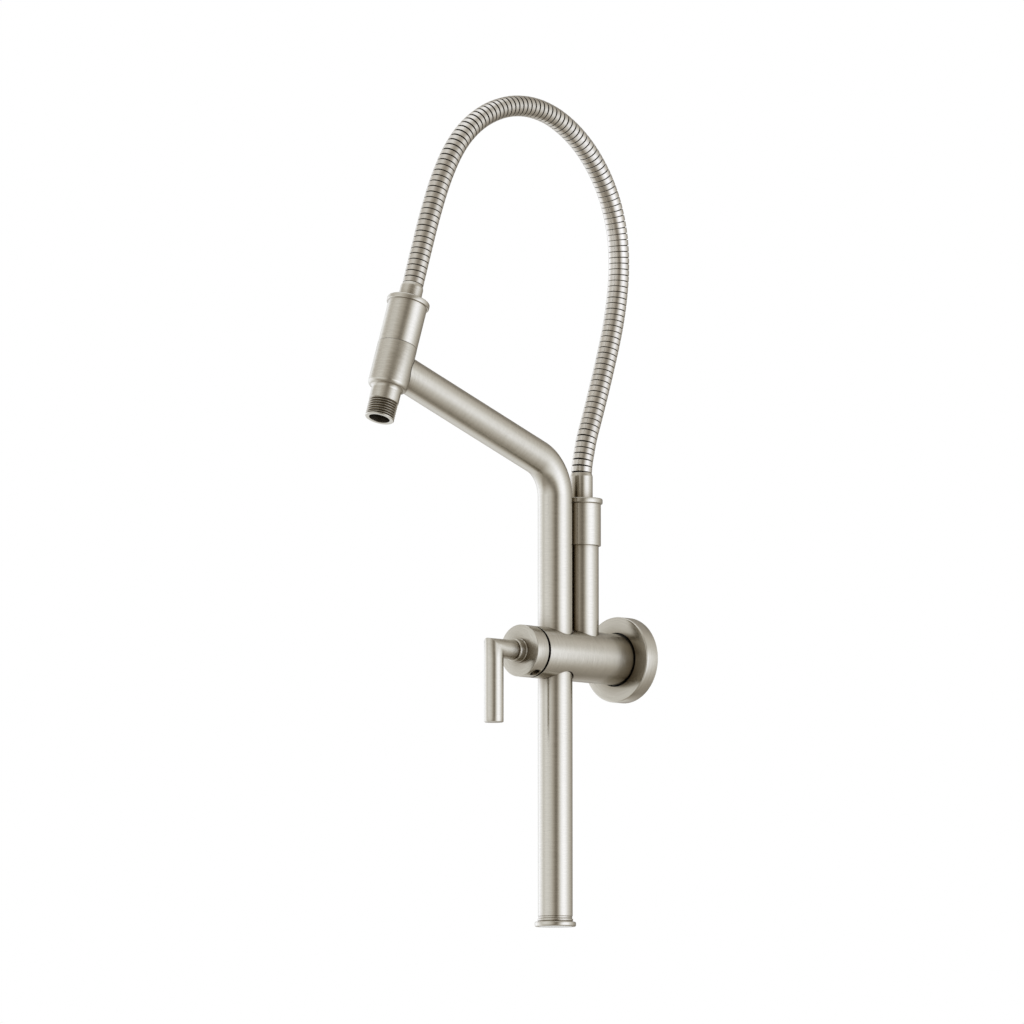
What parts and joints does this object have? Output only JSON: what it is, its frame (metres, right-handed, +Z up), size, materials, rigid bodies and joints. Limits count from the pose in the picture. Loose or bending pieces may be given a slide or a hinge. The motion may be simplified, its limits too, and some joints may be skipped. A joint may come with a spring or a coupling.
{
  "type": "pre rinse faucet",
  "caption": "Wall-held kitchen pre-rinse faucet: a horizontal lever valve carries a swivelling post with a sloping arm, and a banded metal hose runs from a riser to its threaded outlet.",
  "frame": {"origin": "centre of the wall rosette's back face, on the valve's axis", "axes": "+Z up, -Y straight out from the wall along the valve's axis, +X to the right seen from the front"},
  "size_m": [0.0624, 0.27, 0.6003],
  "materials": {
    "nickel": "brushed nickel plate, fine lines round the tubes",
    "hose_bands": "brushed nickel bands lapped round the hose",
    "brass": "plain machined",
    "stainless": "plain stainless",
    "rubber": "matt black",
    "white_plastic": "white low-friction plastic",
    "liner_plastic": "translucent white, taken as solid",
    "ceramic": null,
    "fibre": "dark sealing washer"
  },
  "bodies": {
    "wall_body": {"wall_bracket": "brass", "spigot_o_rings": "rubber", "body_grub_screw": "stainless", "wall_rosette": "nickel", "rosette_gasket": "rubber", "valve_body": "nickel", "post_bearings": "white_plastic", "post_lock_screw": "stainless", "cartridge_gasket": "rubber", "fixed_disc": "ceramic", "cartridge_housing": "white_plastic", "cartridge_nut": "brass", "riser_tube": "nickel", "riser_o_ring": "rubber", "hose_nut_lower": "nickel", "hose_washer_lower": "fibre", "hose_tail_lower": "brass", "ferrule_lower": "nickel", "hose_cover": "hose_bands", "hose_liner": "liner_plastic"},
    "handle": {"turning_disc": "ceramic", "cartridge_stem": "brass", "stem_o_ring": "rubber", "handle_adapter": "white_plastic", "adapter_screw": "stainless", "handle_cap": "nickel", "cap_set_screw": "stainless", "lever_collar": "nickel", "lever": "nickel"},
    "arm": {"post_arm": "nickel", "foot_flange": "nickel", "foot_pad": "white_plastic", "arm_plug": "brass", "outlet_sleeve": "nickel", "hose_nut_upper": "nickel", "hose_washer_upper": "fibre", "hose_tail_upper": "brass", "ferrule_upper": "nickel"}
  },
  "joints": [
    {"name": "handle_turn", "type": "hinge", "parent": "wall_body", "child": "handle", "pos_m": [0, -0.11, 0], "axis": [0, -1, 0], "range_deg": [0, 90]},
    {"name": "arm_swivel", "type": "hinge", "parent": "wall_body", "child": "arm", "pos_m": [0, -0.0766, 0], "axis": [0, 0, 1], "range_deg": [-45, 45], "deforming": ["hose_cover", "hose_liner"]}
  ]
}
